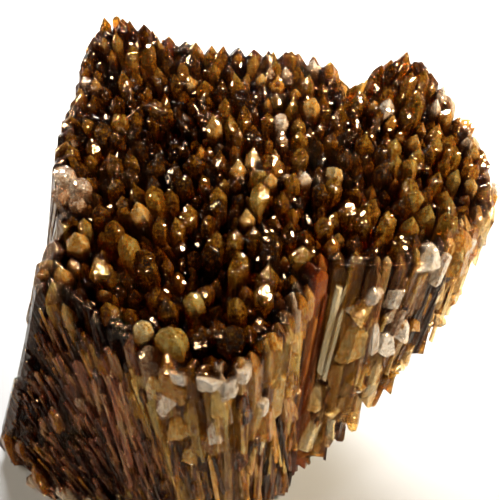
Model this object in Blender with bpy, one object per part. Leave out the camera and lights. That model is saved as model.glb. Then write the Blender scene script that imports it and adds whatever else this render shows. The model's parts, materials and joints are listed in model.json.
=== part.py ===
"""Amber calcite: one grown mass of columns that fan out from below and end in a carpet of crystal points.

The solid is one closed body. Its top is a carpet of pointed crystals, its sides are the bare columns,
and its underside is the rough break, with one flat spot in it that the specimen rests on.
Lengths in this file are in millimetres, and turn into metres where the mesh is written.
The origin is the middle of the flat spot. +Z is up, and the wall of columns that shows best faces -Y.
"""
import math
import random

import bmesh
import bpy
from mathutils import Vector
from mathutils.geometry import delaunay_2d_cdt

MM = 0.001

# The carpet: its height at its middle, and how it tilts and domes
CARPET_MIDDLE = (10.0, -12.0)
CARPET_HEIGHT = 66.0
CARPET_TILT = 0.20
DOME_ACROSS = 0.0022
DOME_DEEP = 0.0010
# Lobes and hollows of the carpet: x, y, rise and radius
LOBES = (
    (-16.0, 46.0, 6.5, 8.0),
    (49.5, 36.0, 6.5, 8.0),
    (36.5, 36.0, -5.0, 5.0),
    (25.0, 15.0, -3.5, 7.0),
    (4.0, -22.0, -2.0, 8.0),
    (-2.0, 16.0, -2.5, 10.0),
)
# All columns fan out from this point, far under the specimen
FAN_ROOT = Vector((11.4, -20.5, -86.0))

# The wall, station by station, anticlockwise from the front: rim x, y, then foot x, y, z
WALL_STATIONS = (
    (5.5, -40.7, 8.0, -33.0, 1.6),
    (11.2, -39.5, 12.0, -31.0, 1.6),
    (16.3, -36.9, 14.5, -28.5, 1.5),
    (20.7, -30.3, 17.0, -25.5, 3.0),
    (23.8, -23.5, 20.5, -22.0, 3.5),
    (27.5, -15.7, 24.0, -18.0, 5.0),
    (33.0, -14.4, 28.5, -16.5, 11.5),
    (41.0, -14.5, 35.5, -16.0, 21.5),
    (50.4, -10.0, 44.3, -12.0, 29.5),
    (59.6, -0.6, 53.0, -4.0, 37.5),
    (64.9, 5.9, 58.5, 2.4, 42.5),
    (65.4, 14.4, 57.0, 10.0, 42.0),
    (64.3, 23.0, 52.5, 17.0, 38.0),
    (59.5, 30.5, 47.5, 22.0, 34.0),
    (53.5, 38.5, 42.0, 26.0, 30.0),
    (46.0, 41.0, 36.0, 27.0, 26.0),
    (37.5, 37.5, 30.0, 26.0, 21.0),
    (32.5, 42.5, 26.0, 26.5, 18.0),
    (24.0, 44.0, 20.0, 27.0, 14.0),
    (13.0, 45.0, 11.0, 27.0, 10.0),
    (1.6, 47.0, 0.0, 28.0, 8.0),
    (-8.4, 50.0, -9.0, 29.0, 8.0),
    (-15.0, 51.5, -16.0, 30.0, 9.0),
    (-22.0, 46.5, -22.0, 27.0, 8.0),
    (-23.8, 36.0, -28.0, 22.0, 6.0),
    (-26.2, 24.0, -33.0, 16.0, 4.0),
    (-26.4, 12.0, -37.0, 9.0, 2.0),
    (-24.2, -1.0, -40.5, 1.0, 1.0),
    (-28.0, -17.8, -42.8, -7.3, 1.6),
    (-24.5, -20.0, -39.5, -14.5, 1.6),
    (-22.5, -21.9, -30.0, -23.0, 1.6),
    (-19.5, -24.5, -18.0, -27.5, 1.6),
    (-17.2, -26.5, -10.0, -30.5, 1.6),
    (-13.0, -30.7, -4.0, -32.0, 1.6),
    (-8.6, -33.8, 0.0, -32.5, 1.6),
    (-5.0, -37.0, 3.0, -33.0, 1.6),
    (0.7, -38.5, 5.5, -33.2, 1.6),
)
WALL_COLUMNS = 92
GROOVE_DEPTH = 0.9
RIM_RISE = 2.2
# Where a column snapped off, as a share of the way down, and how far the stump stands out below it
BREAK_DOWN = (0.28, 0.85)
BREAK_RUN = 0.02
LEDGE_DEPTH = (-0.5, 1.7)

# The underside, and the flat spot in it
REST_SHARE = 0.80
REST_REACH = 21.0
UNDERSIDE_BUMP = 1.6
FOOT_RAGGED = 0.9

# Crystals: they grow wider from the back of the carpet to its front
RADIUS_BACK = 1.2
RADIUS_FRONT = 2.5
RADIUS_SPREAD = (0.68, 1.25)
CRYSTAL_TRIES = 16000
PACKING = 0.88
RIM_RADIUS = 1.3
VALLEY_DEPTH = 1.5
SHOULDER_SHARE = 0.80
SHOULDERED_FROM = 0.84
SHOULDER_RISE = (0.5, 1.3)
TIP_RISE = (0.8, 1.4)
STUB_RISE = (0.4, 1.4)
# Seeds of the random draws
WALL_SEED = 7
PACKING_SEED = 11
GROWTH_SEED = 13

AMBER = (0.30, 0.13, 0.02, 1.0)


def carpet_height(x, y):
    """Height of the carpet at a place, before the crystals rise from it."""
    across = x - CARPET_MIDDLE[0]
    deep = y - CARPET_MIDDLE[1]
    height = CARPET_HEIGHT + CARPET_TILT * deep - DOME_ACROSS * across**2 - DOME_DEEP * deep**2
    for lobe_x, lobe_y, rise, radius in LOBES:
        away = ((x - lobe_x) ** 2 + (y - lobe_y) ** 2) / radius**2
        height += rise * math.exp(-away)
    return height


def growth_direction(point):
    """The way a column grows through a point, away from the root of the fan."""
    return (point - FAN_ROOT).normalized()


def crystal_radius(y):
    """Typical crystal radius at a depth of the carpet."""
    front, back = WALL_STATIONS[0][1], WALL_STATIONS[21][1]
    share = (y - front) / (back - front)
    return RADIUS_FRONT + (RADIUS_BACK - RADIUS_FRONT) * min(max(share, 0.0), 1.0)


def on_closed_curve(stations, at):
    """A place on the smooth closed curve through the stations. at counts stations."""
    count = len(stations)
    index = int(math.floor(at))
    share = at - index
    a, b, c, d = (stations[(index + step) % count] for step in (-1, 0, 1, 2))
    return [
        0.5
        * (
            2 * q
            + (r - p) * share
            + (2 * p - 5 * q + 4 * r - s) * share**2
            + (3 * q - p - 3 * r + s) * share**3
        )
        for p, q, r, s in zip(a, b, c, d)
    ]


def column_places(rng):
    """Places along the wall's stations, in turn the ridge of a column and the groove after it."""
    steps = []
    for here, after in zip(WALL_STATIONS, WALL_STATIONS[1:] + WALL_STATIONS[:1]):
        rim_step = math.dist(here[:2], after[:2])
        foot_step = math.dist(here[2:4], after[2:4])
        steps.append(0.5 * (rim_step + foot_step))
    total = sum(steps)
    wanted = [(k + rng.uniform(-0.25, 0.25)) * total / WALL_COLUMNS for k in range(WALL_COLUMNS)]
    wanted = [w % total for w in wanted]
    wanted.sort()
    grooves = [
        0.5 * (here + after)
        for here, after in zip(wanted, wanted[1:] + [wanted[0] + total])
    ]
    places = []
    for distance in (d for pair in zip(wanted, grooves) for d in pair):
        distance %= total
        for index, step in enumerate(steps):
            if distance < step:
                break
            distance -= step
        places.append(index + distance / step)
    return places


def wall_rings(rng):
    """The rings of the wall from rim to foot. Every second point of a ring is a groove."""
    places = column_places(rng)
    rims, feet, outward = [], [], []
    for at in places:
        rim_x, rim_y, foot_x, foot_y, foot_z = on_closed_curve(WALL_STATIONS, at)
        before = on_closed_curve(WALL_STATIONS, at - 0.3)
        after = on_closed_curve(WALL_STATIONS, at + 0.3)
        along = Vector((after[0] - before[0], after[1] - before[1], 0.0)).normalized()
        outward.append(Vector((along.y, -along.x, 0.0)))
        rims.append(Vector((rim_x, rim_y, carpet_height(rim_x, rim_y))))
        feet.append(Vector((foot_x, foot_y, max(foot_z + rng.uniform(-1, 1) * FOOT_RAGGED, 0.6))))
    breaks = [rng.uniform(*BREAK_DOWN) for _ in range(WALL_COLUMNS)]
    ledges = [rng.uniform(*LEDGE_DEPTH) for _ in range(WALL_COLUMNS)]
    rings = [[] for _ in range(6)]
    for k, (rim, foot, out) in enumerate(zip(rims, feet, outward)):
        column = k // 2
        snap = breaks[column]
        for level, down in enumerate((0.0, 0.13, snap, snap + BREAK_RUN, 0.5 * (snap + 1.0), 1.0)):
            point = rim.lerp(foot, down)
            if k % 2:
                point -= out * GROOVE_DEPTH
            elif level == 0:
                point.z += RIM_RISE
            elif level > 2:
                point += out * ledges[column]
            rings[level].append(point)
    return rings


def underside_rings(feet, rng):
    """From the foot of the wall in to the edge of the flat spot."""
    middle, rest = [], []
    for foot in feet:
        flat = Vector((foot.x, foot.y, 0.0))
        share = min(REST_SHARE, REST_REACH / flat.length)
        rest.append(flat * share)
        halfway = foot.lerp(rest[-1], 0.5)
        halfway.z = max(halfway.z + rng.uniform(-1, 1) * UNDERSIDE_BUMP, 0.4)
        middle.append(halfway)
    return middle, rest


def inside(x, y, outline):
    """Whether a place lies inside a closed outline."""
    found = False
    for (ax, ay), (bx, by) in zip(outline, outline[1:] + outline[:1]):
        if (ay > y) != (by > y) and x < (bx - ax) * (y - ay) / (by - ay) + ax:
            found = not found
    return found


def off_outline(x, y, outline):
    """Distance from a place to the nearest point of an outline."""
    return min(math.dist((x, y), p) for p in outline)


def crystal_seats(rim, rng):
    """Where the crystals stand: x, y and radius of each, packed at random and close."""
    outline = [(p.x, p.y) for p in rim]
    low_x, high_x = min(p[0] for p in outline), max(p[0] for p in outline)
    low_y, high_y = min(p[1] for p in outline), max(p[1] for p in outline)
    cell = 2 * RADIUS_FRONT * RADIUS_SPREAD[1]
    seats, grid = [], {}
    for _ in range(CRYSTAL_TRIES):
        x, y = rng.uniform(low_x, high_x), rng.uniform(low_y, high_y)
        radius = crystal_radius(y) * rng.uniform(*RADIUS_SPREAD)
        column, row = int(x // cell), int(y // cell)
        near = [s for i in (-1, 0, 1) for j in (-1, 0, 1) for s in grid.get((column + i, row + j), ())]
        if any(math.dist((x, y), s[:2]) < PACKING * (radius + s[2]) for s in near):
            continue
        if not inside(x, y, outline) or off_outline(x, y, outline) < radius:
            continue
        seats.append((x, y, radius))
        grid.setdefault((column, row), []).append((x, y, radius))
    return seats


def carpet(rim, seats, rng):
    """Points and faces of the crystal carpet. The rim's points come first, and the faces point up."""
    flat = [Vector((p.x, p.y)) for p in rim] + [Vector(s[:2]) for s in seats]
    coords, _, triangles, originals, _, _ = delaunay_2d_cdt(flat, [], [list(range(len(rim)))], 1, 1e-6)
    source = [numbers[0] for numbers in originals]
    radii = [RIM_RADIUS] * len(rim) + [s[2] for s in seats]
    points = list(rim)
    around = {}
    faces = []
    # A valley point in the middle of every three neighbours, nearer to the smaller ones
    for triangle in triangles:
        corners = [source[v] for v in triangle]
        weights = [1 / radii[c] for c in corners]
        place = sum((flat[c] * w for c, w in zip(corners, weights)), Vector((0.0, 0.0))) / sum(weights)
        depth = VALLEY_DEPTH * sum(radii[c] for c in corners) / 3
        valley = Vector((place.x, place.y, carpet_height(place.x, place.y) - depth))
        for corner in corners:
            around.setdefault(corner, []).append(len(points))
        points.append(valley)
    places = {}
    for corner, valleys in around.items():
        start = flat[(corner + 1) % len(rim)] - flat[corner] if corner < len(rim) else Vector((1.0, 0.0))
        turn = math.atan2(start.y, start.x)

        def bearing(valley):
            way = points[valley].xy - flat[corner]
            return (math.atan2(way.y, way.x) - turn) % (2 * math.pi)

        places[corner] = sorted(valleys, key=bearing)
    # The strip between the rim and its nearest valleys
    for corner in range(len(rim)):
        after = (corner + 1) % len(rim)
        faces.append((corner, after, places[corner][0]))
        for here, there in zip(places[corner], places[corner][1:]):
            faces.append((corner, here, there))
    # A crystal in every ring of valleys
    for number, (x, y, radius) in enumerate(seats):
        ring = places[len(rim) + number]
        seat = Vector((x, y, carpet_height(x, y)))
        axis = growth_direction(seat)
        shoulder = seat + axis * radius * rng.uniform(*SHOULDER_RISE)
        tip = seat + axis * radius * rng.uniform(*STUB_RISE)
        if radius > SHOULDERED_FROM * crystal_radius(y):
            tip = shoulder + axis * radius * rng.uniform(*TIP_RISE)
            tip += Vector((rng.uniform(-0.2, 0.2), rng.uniform(-0.2, 0.2), 0.0)) * radius
            upper = []
            for valley in ring:
                way = points[valley].xy - seat.xy
                corner = shoulder + Vector((way.x, way.y, 0.0)) * SHOULDER_SHARE
                corner -= axis * (corner - shoulder).dot(axis)
                upper.append(len(points))
                points.append(corner)
            for k, low in enumerate(ring):
                after = (k + 1) % len(ring)
                faces.append((low, ring[after], upper[after], upper[k]))
            ring = upper
        points.append(tip)
        for k, low in enumerate(ring):
            faces.append((low, ring[(k + 1) % len(ring)], len(points) - 1))
    return points, faces


def calcite_mesh():
    """The whole specimen as one closed mesh."""
    rng = random.Random(WALL_SEED)
    walls = wall_rings(rng)
    rings = walls[1:] + list(underside_rings(walls[-1], rng))
    seats = crystal_seats(walls[0], random.Random(PACKING_SEED))
    points, faces = carpet(walls[0], seats, random.Random(GROWTH_SEED))
    count = len(walls[0])
    upper = list(range(count))
    for ring in rings:
        lower = list(range(len(points), len(points) + count))
        points.extend(ring)
        for k in range(count):
            after = (k + 1) % count
            faces.append((lower[k], lower[after], upper[after], upper[k]))
        upper = lower
    faces.append(tuple(reversed(upper)))
    mesh = bpy.data.meshes.new("calcite_cluster")
    mesh.from_pydata([p * MM for p in points], [], faces)
    mesh.validate()
    tidy = bmesh.new()
    tidy.from_mesh(mesh)
    bmesh.ops.triangulate(tidy, faces=tidy.faces)
    tidy.to_mesh(mesh)
    tidy.free()
    print(len(seats), "crystals,", len(mesh.polygons), "triangles")
    return mesh


def amber_finish():
    """Honey to dark brown, and glossy on the faces."""
    material = bpy.data.materials.new("amber")
    material.use_nodes = True
    shader = material.node_tree.nodes["Principled BSDF"]
    shader.inputs["Base Color"].default_value = AMBER
    shader.inputs["Roughness"].default_value = 0.18
    shader.inputs["Metallic"].default_value = 0.0
    material.diffuse_color = AMBER
    return material


def main():
    for old in list(bpy.data.objects):
        bpy.data.objects.remove(old)
    mesh = calcite_mesh()
    mesh.materials.append(amber_finish())
    cluster = bpy.data.objects.new("calcite_cluster", mesh)
    bpy.context.scene.collection.objects.link(cluster)


main()
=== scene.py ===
# %% [markdown]
# # A cluster of amber calcite
# The real thing is one grown mass. Long columns start at a root that has broken away and fan out upwards,
# and each ends in a short pointed crystal, so the top is a carpet of several hundred points. The packed
# solid has that form at its real size. It could be dressed by giving the solid a glass finish, but its
# crystals share their faces and have no sharp edges of their own. So this script grows every crystal again
# in the same place, as a separate closed body with flat faces and chipped edges, joins what belongs
# together, and gives each stretch its own tint.

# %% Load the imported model
import json
import math
import random

import bmesh
import bpy
import numpy as np
from mathutils import Matrix, Vector
from mathutils.bvhtree import BVHTree
from mathutils.geometry import delaunay_2d_cdt

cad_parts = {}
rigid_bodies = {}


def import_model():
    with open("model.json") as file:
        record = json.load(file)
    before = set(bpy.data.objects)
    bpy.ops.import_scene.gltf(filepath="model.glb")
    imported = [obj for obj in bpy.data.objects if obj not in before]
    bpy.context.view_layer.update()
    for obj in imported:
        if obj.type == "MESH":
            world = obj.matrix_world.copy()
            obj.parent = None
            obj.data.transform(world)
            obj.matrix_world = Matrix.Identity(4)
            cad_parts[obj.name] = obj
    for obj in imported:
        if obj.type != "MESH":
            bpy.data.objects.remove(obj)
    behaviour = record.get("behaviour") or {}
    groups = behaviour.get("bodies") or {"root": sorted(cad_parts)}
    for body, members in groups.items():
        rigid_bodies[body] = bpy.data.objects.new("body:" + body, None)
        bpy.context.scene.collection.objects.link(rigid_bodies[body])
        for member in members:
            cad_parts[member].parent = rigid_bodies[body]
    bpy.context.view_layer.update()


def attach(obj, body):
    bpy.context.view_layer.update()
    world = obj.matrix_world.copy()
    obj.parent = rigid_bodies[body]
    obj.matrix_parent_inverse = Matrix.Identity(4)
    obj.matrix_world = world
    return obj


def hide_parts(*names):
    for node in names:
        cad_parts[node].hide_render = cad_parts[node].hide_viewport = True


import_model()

MM = 0.001

# %% [markdown]
# ## The carpet as a formula
# The carpet tilts up to the back, domes a little, and has a few lobes and hollows. A sculpted sheet could
# give that form, but then nothing could ask it how high it is at a place. A short formula can be asked, so
# every crystal, the body below and the finish all use this one. All lengths are in millimetres until a mesh
# is written.

# %% The height of the carpet, and the way crystals grow
CARPET_MIDDLE = (10.0, -12.0)
CARPET_HEIGHT = 66.0
CARPET_TILT = 0.20
DOME_ACROSS = 0.0022
DOME_DEEP = 0.0010
# Lobes and hollows: x, y, rise and radius
LOBES = (
    (-16.0, 46.0, 6.5, 8.0),
    (49.5, 36.0, 6.5, 8.0),
    (36.5, 36.0, -5.0, 5.0),
    (25.0, 15.0, -3.5, 7.0),
    (4.0, -22.0, -2.0, 8.0),
    (-2.0, 16.0, -2.5, 10.0),
)
# All columns fan out from this point, far under the specimen
FAN_ROOT = Vector((11.4, -20.5, -86.0))


def carpet_height(x, y):
    """Height of the carpet at a place, before the crystals rise from it."""
    across = x - CARPET_MIDDLE[0]
    deep = y - CARPET_MIDDLE[1]
    height = CARPET_HEIGHT + CARPET_TILT * deep - DOME_ACROSS * across**2 - DOME_DEEP * deep**2
    for lobe_x, lobe_y, rise, radius in LOBES:
        away = ((x - lobe_x) ** 2 + (y - lobe_y) ** 2) / radius**2
        height += rise * math.exp(-away)
    return height


def growth_direction(point):
    """The way a column grows through a point, away from the root of the fan."""
    return (point - FAN_ROOT).normalized()


print("the carpet is", round(carpet_height(*CARPET_MIDDLE), 1), "mm high at its middle")

# %% [markdown]
# ## The wall, station by station
# The sides of the specimen are bare columns, and their outline has a prow at the front, a step at the right
# and a long overhang there. A list of stations holds it: where the rim is and where the foot is. A smooth
# closed curve runs through them, so a place on the wall is only two numbers: how far along the stations,
# and how far down.

# %% The stations of the wall
# Anticlockwise from the front: rim x, y, then foot x, y, z
WALL_STATIONS = (
    (5.5, -40.7, 8.0, -33.0, 1.6),
    (11.2, -39.5, 12.0, -31.0, 1.6),
    (16.3, -36.9, 14.5, -28.5, 1.5),
    (20.7, -30.3, 17.0, -25.5, 3.0),
    (23.8, -23.5, 20.5, -22.0, 3.5),
    (27.5, -15.7, 24.0, -18.0, 5.0),
    (33.0, -14.4, 28.5, -16.5, 11.5),
    (41.0, -14.5, 35.5, -16.0, 21.5),
    (50.4, -10.0, 44.3, -12.0, 29.5),
    (59.6, -0.6, 53.0, -4.0, 37.5),
    (64.9, 5.9, 58.5, 2.4, 42.5),
    (65.4, 14.4, 57.0, 10.0, 42.0),
    (64.3, 23.0, 52.5, 17.0, 38.0),
    (59.5, 30.5, 47.5, 22.0, 34.0),
    (53.5, 38.5, 42.0, 26.0, 30.0),
    (46.0, 41.0, 36.0, 27.0, 26.0),
    (37.5, 37.5, 30.0, 26.0, 21.0),
    (32.5, 42.5, 26.0, 26.5, 18.0),
    (24.0, 44.0, 20.0, 27.0, 14.0),
    (13.0, 45.0, 11.0, 27.0, 10.0),
    (1.6, 47.0, 0.0, 28.0, 8.0),
    (-8.4, 50.0, -9.0, 29.0, 8.0),
    (-15.0, 51.5, -16.0, 30.0, 9.0),
    (-22.0, 46.5, -22.0, 27.0, 8.0),
    (-23.8, 36.0, -28.0, 22.0, 6.0),
    (-26.2, 24.0, -33.0, 16.0, 4.0),
    (-26.4, 12.0, -37.0, 9.0, 2.0),
    (-24.2, -1.0, -40.5, 1.0, 1.0),
    (-28.0, -17.8, -42.8, -7.3, 1.6),
    (-24.5, -20.0, -39.5, -14.5, 1.6),
    (-22.5, -21.9, -30.0, -23.0, 1.6),
    (-19.5, -24.5, -18.0, -27.5, 1.6),
    (-17.2, -26.5, -10.0, -30.5, 1.6),
    (-13.0, -30.7, -4.0, -32.0, 1.6),
    (-8.6, -33.8, 0.0, -32.5, 1.6),
    (-5.0, -37.0, 3.0, -33.0, 1.6),
    (0.7, -38.5, 5.5, -33.2, 1.6),
)
STATION_COUNT = len(WALL_STATIONS)


def on_closed_curve(stations, at):
    """A place on the smooth closed curve through the stations. at counts stations."""
    count = len(stations)
    index = int(math.floor(at))
    share = at - index
    a, b, c, d = (stations[(index + step) % count] for step in (-1, 0, 1, 2))
    return [
        0.5
        * (
            2 * q
            + (r - p) * share
            + (2 * p - 5 * q + 4 * r - s) * share**2
            + (3 * q - p - 3 * r + s) * share**3
        )
        for p, q, r, s in zip(a, b, c, d)
    ]


def wall_line(at):
    """The wall at a place along its stations: the rim, the foot, and the way out, which is level."""
    rim_x, rim_y, foot_x, foot_y, foot_z = on_closed_curve(WALL_STATIONS, at)
    before = on_closed_curve(WALL_STATIONS, at - 0.3)
    after = on_closed_curve(WALL_STATIONS, at + 0.3)
    along = Vector((after[0] - before[0], after[1] - before[1], 0.0)).normalized()
    rim = Vector((rim_x, rim_y, carpet_height(rim_x, rim_y)))
    return rim, Vector((foot_x, foot_y, foot_z)), Vector((along.y, -along.x, 0.0))


print("the wall has", STATION_COUNT, "stations")

# %% The columns of the wall, in the same places as in the solid
WALL_COLUMNS = 92
GROOVE_DEPTH = 0.9
FOOT_RAGGED = 0.9
LOWEST_FOOT = 0.6
WALL_SEED = 7


def column_places(rng):
    """Places along the wall's stations, in turn the ridge of a column and the groove after it."""
    steps = []
    for here, after in zip(WALL_STATIONS, WALL_STATIONS[1:] + WALL_STATIONS[:1]):
        rim_step = math.dist(here[:2], after[:2])
        foot_step = math.dist(here[2:4], after[2:4])
        steps.append(0.5 * (rim_step + foot_step))
    total = sum(steps)
    wanted = [(k + rng.uniform(-0.25, 0.25)) * total / WALL_COLUMNS for k in range(WALL_COLUMNS)]
    wanted = [w % total for w in wanted]
    wanted.sort()
    grooves = [
        0.5 * (here + after)
        for here, after in zip(wanted, wanted[1:] + [wanted[0] + total])
    ]
    places = []
    for distance in (d for pair in zip(wanted, grooves) for d in pair):
        distance %= total
        for index, step in enumerate(steps):
            if distance < step:
                break
            distance -= step
        places.append(index + distance / step)
    return places


wall_rng = random.Random(WALL_SEED)
places = column_places(wall_rng)
wall = [wall_line(at) for at in places]
for rim, foot, out in wall:
    foot.z = max(foot.z + wall_rng.uniform(-1, 1) * FOOT_RAGGED, LOWEST_FOOT)
groove_rim = [
    (rim - out * (GROOVE_DEPTH if k % 2 else 0.0)).xy[:] for k, (rim, foot, out) in enumerate(wall)
]
print(WALL_COLUMNS, "columns stand round it")

# %% [markdown]
# ## Where the crystals stand
# Real crystals crowd each other until the carpet is full, and they are wider at the front of the specimen
# than at its back. A regular grid with some shake would still look like a grid. Random tries that are kept
# only where there is room give the crowding of the real carpet, and the same seed gives the seats that the
# solid has.

# %% Packing the seats
RADIUS_BACK = 1.2
RADIUS_FRONT = 2.5
RADIUS_SPREAD = (0.68, 1.25)
CRYSTAL_TRIES = 16000
PACKING = 0.88
PACKING_SEED = 11
BACK_STATION = 21


def crystal_radius(y):
    """Typical crystal radius at a depth of the carpet."""
    front, back = WALL_STATIONS[0][1], WALL_STATIONS[BACK_STATION][1]
    share = (y - front) / (back - front)
    return RADIUS_FRONT + (RADIUS_BACK - RADIUS_FRONT) * min(max(share, 0.0), 1.0)


def inside(x, y, outline):
    """Whether a place lies inside a closed outline."""
    found = False
    for (ax, ay), (bx, by) in zip(outline, outline[1:] + outline[:1]):
        if (ay > y) != (by > y) and x < (bx - ax) * (y - ay) / (by - ay) + ax:
            found = not found
    return found


def off_outline(x, y, outline):
    """Distance from a place to the nearest point of an outline."""
    return min(math.dist((x, y), p) for p in outline)


def pack_seats(outline, rng, tries, radius_at, packing, taken=()):
    """Where crystals stand: x, y and radius of each, packed at random and close."""
    low_x, high_x = min(p[0] for p in outline), max(p[0] for p in outline)
    low_y, high_y = min(p[1] for p in outline), max(p[1] for p in outline)
    cell = 2 * RADIUS_FRONT * RADIUS_SPREAD[1]
    seats, grid = [], {}
    for seat in taken:
        grid.setdefault((int(seat[0] // cell), int(seat[1] // cell)), []).append(seat)
    for _ in range(tries):
        x, y = rng.uniform(low_x, high_x), rng.uniform(low_y, high_y)
        radius = radius_at(y) * rng.uniform(*RADIUS_SPREAD)
        column, row = int(x // cell), int(y // cell)
        near = [s for i in (-1, 0, 1) for j in (-1, 0, 1) for s in grid.get((column + i, row + j), ())]
        if any(math.dist((x, y), s[:2]) < packing * (radius + s[2]) for s in near):
            continue
        if not inside(x, y, outline) or off_outline(x, y, outline) < radius:
            continue
        seats.append((x, y, radius))
        grid.setdefault((column, row), []).append((x, y, radius))
    return seats


seats = pack_seats(groove_rim, random.Random(PACKING_SEED), CRYSTAL_TRIES, crystal_radius, PACKING)
print(len(seats), "crystals stand where the solid has them")

# %% [markdown]
# ## The shape of one crystal
# A calcite point is bounded by flat faces only: a six-sided prism, a steep shoulder and three main faces at
# the tip, with the edges slightly chipped. Drawing each from a list of corners would be long and all alike.
# Here a block is trimmed by planes, as a stone cutter would do it, with small random turns of each plane,
# and the hull of the trimmed block is kept as points and faces. A few dozen templates are enough, since
# each use turns and stretches one.

# %% Trimming a block
BLOCK_LOW = -3.0
BLOCK_SIZE = 4.0
FOOT_BELOW = -1.0
FOOT_LEVEL = -2.4
SIDES = 6
# How far a face may be off: its turn and slope in degrees, its reach as a share, and its height at a tip
TURN_OFF = 6
SLOPE_OFF = 3
REACH_OFF = (0.90, 1.08)
TIP_OFF = 0.14
# Every second face of a tip is steeper by up to this, so that three faces are large
MINOR_STEEPER = 9


def leaning(angle, lean):
    """The direction that leans from straight up by an angle, towards a bearing."""
    return Vector((math.cos(angle) * math.sin(lean), math.sin(angle) * math.sin(lean), math.cos(lean)))


def trimmed_block(planes):
    """A block cut by planes. Each plane is a point and the direction of the side that is taken away."""
    block = bmesh.new()
    bmesh.ops.create_cube(block, size=2 * BLOCK_SIZE)
    bmesh.ops.translate(block, verts=block.verts, vec=(0, 0, BLOCK_SIZE + BLOCK_LOW))
    for point, normal in planes:
        geometry = block.verts[:] + block.edges[:] + block.faces[:]
        cut = bmesh.ops.bisect_plane(
            block, geom=geometry, plane_co=point, plane_no=normal, clear_outer=True
        )
        edges = [g for g in cut["geom_cut"] if isinstance(g, bmesh.types.BMEdge)]
        if edges:
            bmesh.ops.contextual_create(block, geom=edges)
    return block


def tier_planes(rng, tiers):
    """Six faces round the axis for each tier. A tier is a slope in degrees, a radius and a height."""
    planes = []
    turn = rng.uniform(0, 60)
    for slope, radius, height in tiers:
        for side in range(SIDES):
            angle = math.radians(turn + 60 * side + rng.uniform(-TURN_OFF, TURN_OFF))
            steeper = rng.uniform(0, MINOR_STEEPER) if side % 2 and radius == 0 else 0
            reach = radius * rng.uniform(*REACH_OFF)
            lift = rng.uniform(-TIP_OFF, TIP_OFF) if radius == 0 else 0.0
            point = Vector((math.cos(angle) * reach, math.sin(angle) * reach, height + lift))
            lean = math.radians(slope + steeper + rng.uniform(-SLOPE_OFF, SLOPE_OFF))
            planes.append((point, leaning(angle, lean)))
    return planes


def chipped_foot(rng):
    """Two slanting breaks at the lower end of a column."""
    planes = []
    for _ in range(2):
        down = leaning(rng.uniform(0, 2 * math.pi), math.radians(rng.uniform(10, 50)))
        planes.append((Vector((0, 0, FOOT_LEVEL)), Vector((down.x, down.y, -down.z))))
    return planes


def hull_of(block, chip, flat):
    """The block with its edges chipped and its section made a little flat, as points and triangles."""
    bmesh.ops.bevel(block, geom=block.edges[:], offset=chip, segments=1, affect="EDGES", clamp_overlap=True)
    bmesh.ops.remove_doubles(block, verts=block.verts, dist=1e-3)
    solid = bmesh.new()
    for vertex in block.verts:
        solid.verts.new((vertex.co.x * flat, vertex.co.y / flat, vertex.co.z))
    bmesh.ops.convex_hull(solid, input=solid.verts)
    loose = [v for v in solid.verts if not v.link_faces]
    bmesh.ops.delete(solid, geom=loose, context="VERTS")
    bmesh.ops.triangulate(solid, faces=solid.faces)
    bmesh.ops.recalc_face_normals(solid, faces=solid.faces)
    solid.verts.index_update()
    points = np.array([v.co[:] for v in solid.verts])
    faces = np.array([[v.index for v in f.verts] for f in solid.faces])
    block.free()
    solid.free()
    return points, faces


# %% Points, stumps and lumps
CHIP = 0.055
BLUNT_SHARE = 0.35
FLAKED_SHARE = 0.12
# Slope, radius and height of the last tier
SHARP_TIP = (57.0, 0.0, 1.5)
BLUNT_TIP = (48.0, 0.0, 1.05)


def point_template(rng):
    """A whole crystal. One in three is blunt, and one in eight has lost a flake at its tip."""
    top = BLUNT_TIP if rng.random() < BLUNT_SHARE else SHARP_TIP
    planes = tier_planes(rng, ((88.0, 1.0, 0.0), (74.0, 0.94, 0.1), top))
    if rng.random() < FLAKED_SHARE:
        lean = math.radians(rng.uniform(25, 60))
        planes.append((Vector((0, 0, 0.55)), leaning(rng.uniform(0, 2 * math.pi), lean)))
    return hull_of(trimmed_block(planes + chipped_foot(rng)), CHIP, rng.uniform(0.86, 1.0))


def stump_template(rng):
    """A column that snapped off on one or two slanting cleavage faces."""
    planes = tier_planes(rng, ((89.0, 1.0, 0.0),))
    for _ in range(rng.choice((1, 2))):
        lean = math.radians(rng.uniform(5, 42))
        planes.append((Vector((0, 0, rng.uniform(0.1, 0.5))), leaning(rng.uniform(0, 2 * math.pi), lean)))
    return hull_of(trimmed_block(planes + chipped_foot(rng)), CHIP, rng.uniform(0.8, 1.0))


def lump_template(rng):
    """A worn lump: many small faces turned at random."""
    planes = tier_planes(rng, ((80.0, 1.0, 0.0), (62.0, 0.8, 0.35), (38.0, 0.4, 0.75)))
    worn_top = leaning(rng.uniform(0, 2 * math.pi), math.radians(rng.uniform(0, 20)))
    planes.append((Vector((0, 0, 0.9)), worn_top))
    return hull_of(trimmed_block(planes + chipped_foot(rng)), 2 * CHIP, rng.uniform(0.8, 1.0))


TEMPLATE_SEED = 3
TEMPLATE_COUNTS = (("point", point_template, 48), ("stump", stump_template, 24), ("lump", lump_template, 12))
template_rng = random.Random(TEMPLATE_SEED)
SHAPES = {}
for shape, template, count in TEMPLATE_COUNTS:
    SHAPES[shape] = [template(template_rng) for _ in range(count)]
    typical = round(np.mean([len(faces) for _, faces in SHAPES[shape]]))
    print(count, shape, "templates of", typical, "triangles each, on average")

# %% [markdown]
# ## Growing a crystal from its template
# A crystal is given by where its column starts, where its tip is, how wide it is at both, and a tone that
# the finish reads later. The faces of the tip keep their slopes whatever the length, because only the prism
# between foot and shoulder is stretched. Each crystal is put in the list of the tint that it will have.

# %% Growing
# The shortest a prism gets, as a share of the crystal, and how much wider the bar is than what it holds
SHORTEST_PRISM = 0.1
BAR_WIDER = 1.30
grown = {tint: [] for tint in ("amber", "honey", "frost", "dark", "golden", "cream", "red", "fibre")}


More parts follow.
